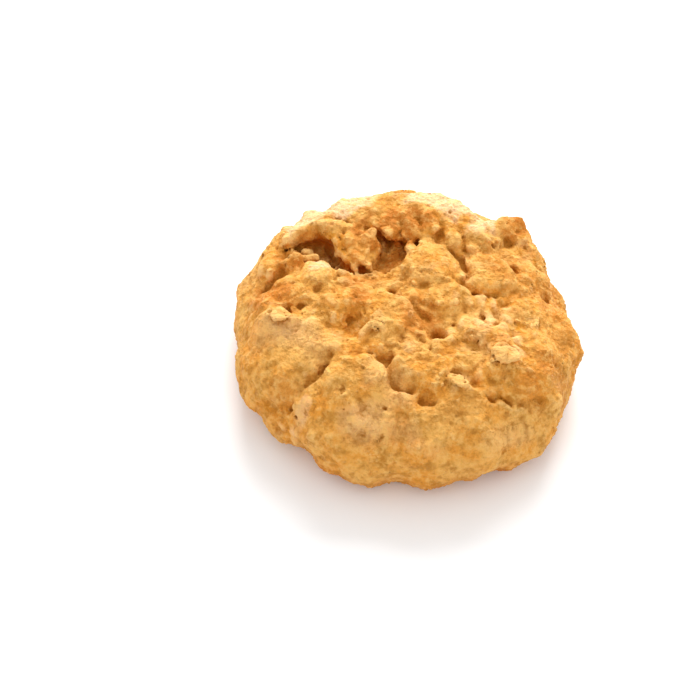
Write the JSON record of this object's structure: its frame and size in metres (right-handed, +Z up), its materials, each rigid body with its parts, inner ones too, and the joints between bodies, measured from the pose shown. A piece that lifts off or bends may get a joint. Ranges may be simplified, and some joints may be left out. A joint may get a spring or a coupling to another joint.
{
  "type": "anzac cookie",
  "caption": "Thick round oat biscuit with a domed, craggy golden top, an overhanging ridge of crust and smooth pored sides, lying flat on its baked bottom.",
  "frame": {"origin": "centre of the flat bottom, on the surface that the biscuit lies on", "axes": "+Z up, out of the craggy top; -Y towards the smooth near side; +X to its right"},
  "size_m": [0.0668, 0.0668, 0.0224],
  "materials": {
    "baked_dough": "dry matte golden baked oat dough, paler on the rim and flakes, browner in the hollows"
  },
  "bodies": {
    "root": {"cookie": "baked_dough"}
  },
  "joints": []
}
